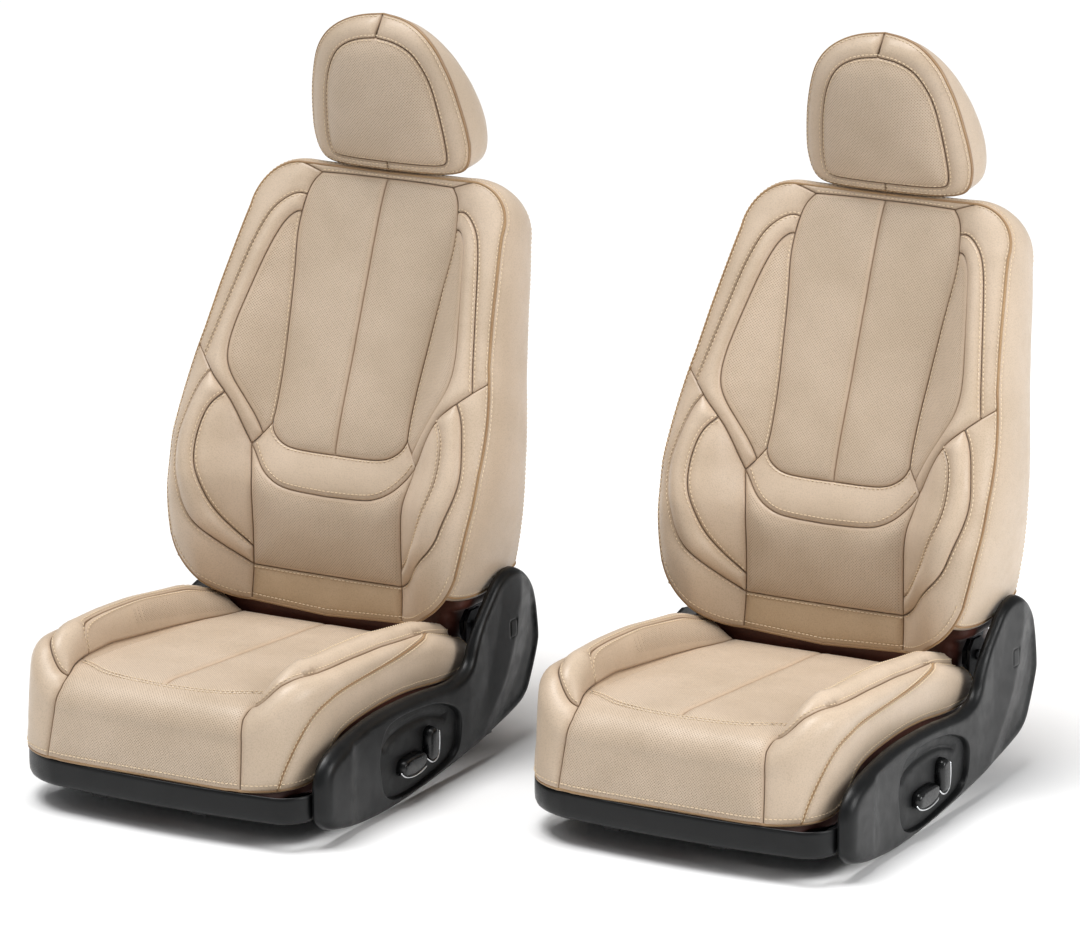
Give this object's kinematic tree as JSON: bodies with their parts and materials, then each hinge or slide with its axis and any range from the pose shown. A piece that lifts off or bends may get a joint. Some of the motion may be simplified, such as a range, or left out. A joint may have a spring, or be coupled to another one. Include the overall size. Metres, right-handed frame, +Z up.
{
  "type": "pair of car front seats with fitted seat covers",
  "caption": "Front car seats dressed in fitted beige leatherette covers, with adjustable headrests, reclining backrests, sliding tracks and a switch shield on each.",
  "frame": {"origin": "centre of the pair's bounding box, on the floor under the rails", "axes": "+X from the left seat towards the right seat, to the side with the switches; -Y the way the seats face; +Z up"},
  "size_m": [1.355, 1.1349, 1.148],
  "materials": {
    "smooth_leather": "satin",
    "perforated_leather": "matte",
    "brown_upholstery": "satin",
    "black_plastic": "satin",
    "switch_plastic": "gloss",
    "black_elastic": "matte",
    "frame_steel": "satin",
    "rail_steel": "satin",
    "post_chrome": "polished"
  },
  "bodies": {
    "base": {"left_lower_rails": "rail_steel", "right_lower_rails": "rail_steel"},
    "left_seat": {"left_upper_rails": "rail_steel", "left_cushion_frame": "frame_steel", "left_cushion_foam": "brown_upholstery", "left_cushion_insert": "perforated_leather", "left_cushion_front_panel": "perforated_leather", "left_cushion_bolsters": "smooth_leather", "left_cushion_skirt": "smooth_leather", "left_cushion_straps": "black_elastic", "left_front_valance": "black_plastic", "left_outer_shield": "black_plastic", "left_inner_shield": "black_plastic", "left_recliner_brackets": "frame_steel"},
    "left_backrest": {"left_back_frame": "frame_steel", "left_backrest_foam": "brown_upholstery", "left_back_insert": "perforated_leather", "left_lumbar_band": "smooth_leather", "left_lumbar_panel": "perforated_leather", "left_back_wings": "smooth_leather", "left_back_bolsters": "smooth_leather", "left_back_side_band": "smooth_leather", "left_rear_cover": "smooth_leather", "left_headrest_guides": "black_plastic"},
    "left_headrest": {"left_headrest_posts": "post_chrome", "left_headrest_foam": "brown_upholstery", "left_headrest_insert": "perforated_leather", "left_headrest_band": "smooth_leather", "left_headrest_shell": "smooth_leather"},
    "left_cushion_switch": {"left_cushion_switch": "switch_plastic"},
    "left_recline_switch": {"left_recline_switch": "switch_plastic"},
    "right_seat": {"right_upper_rails": "rail_steel", "right_cushion_frame": "frame_steel", "right_cushion_foam": "brown_upholstery", "right_cushion_insert": "perforated_leather", "right_cushion_front_panel": "perforated_leather", "right_cushion_bolsters": "smooth_leather", "right_cushion_skirt": "smooth_leather", "right_cushion_straps": "black_elastic", "right_front_valance": "black_plastic", "right_outer_shield": "black_plastic", "right_inner_shield": "black_plastic", "right_recliner_brackets": "frame_steel"},
    "right_backrest": {"right_back_frame": "frame_steel", "right_backrest_foam": "brown_upholstery", "right_back_insert": "perforated_leather", "right_lumbar_band": "smooth_leather", "right_lumbar_panel": "perforated_leather", "right_back_wings": "smooth_leather", "right_back_bolsters": "smooth_leather", "right_back_side_band": "smooth_leather", "right_rear_cover": "smooth_leather", "right_headrest_guides": "black_plastic"},
    "right_headrest": {"right_headrest_posts": "post_chrome", "right_headrest_foam": "brown_upholstery", "right_headrest_insert": "perforated_leather", "right_headrest_band": "smooth_leather", "right_headrest_shell": "smooth_leather"},
    "right_cushion_switch": {"right_cushion_switch": "switch_plastic"},
    "right_recline_switch": {"right_recline_switch": "switch_plastic"}
  },
  "joints": [
    {"name": "left_track", "type": "slide", "parent": "base", "child": "left_seat", "axis": [0, -1, 0], "range_m": [-0.11, 0.11]},
    {"name": "left_recline", "type": "hinge", "parent": "left_seat", "child": "left_backrest", "pos_m": [-0.3915, 0.0445, 0.205], "axis": [-1, 0, 0], "range_deg": [-4, 45]},
    {"name": "left_headrest_height", "type": "slide", "parent": "left_backrest", "child": "left_headrest", "axis": [0, 0.309, 0.9511], "range_m": [0, 0.06]},
    {"name": "left_cushion_switch_travel", "type": "slide", "parent": "left_seat", "child": "left_cushion_switch", "axis": [0, -1, 0], "range_m": [-0.003, 0.003], "stiffness_N_per_m": 600},
    {"name": "left_recline_switch_tilt", "type": "hinge", "parent": "left_seat", "child": "left_recline_switch", "pos_m": [-0.0915, -0.1875, 0.082], "axis": [-1, 0, 0], "range_deg": [-8, 8], "stiffness_Nm_per_rad": 0.6},
    {"name": "right_track", "type": "slide", "parent": "base", "child": "right_seat", "axis": [0, -1, 0], "range_m": [-0.11, 0.11]},
    {"name": "right_recline", "type": "hinge", "parent": "right_seat", "child": "right_backrest", "pos_m": [0.3735, 0.2875, 0.205], "axis": [-1, 0, 0], "range_deg": [-4, 45]},
    {"name": "right_headrest_height", "type": "slide", "parent": "right_backrest", "child": "right_headrest", "axis": [0, 0.309, 0.9511], "range_m": [0, 0.06]},
    {"name": "right_cushion_switch_travel", "type": "slide", "parent": "right_seat", "child": "right_cushion_switch", "axis": [0, -1, 0], "range_m": [-0.003, 0.003], "stiffness_N_per_m": 600},
    {"name": "right_recline_switch_tilt", "type": "hinge", "parent": "right_seat", "child": "right_recline_switch", "pos_m": [0.6735, 0.0555, 0.082], "axis": [-1, 0, 0], "range_deg": [-8, 8], "stiffness_Nm_per_rad": 0.6}
  ]
}
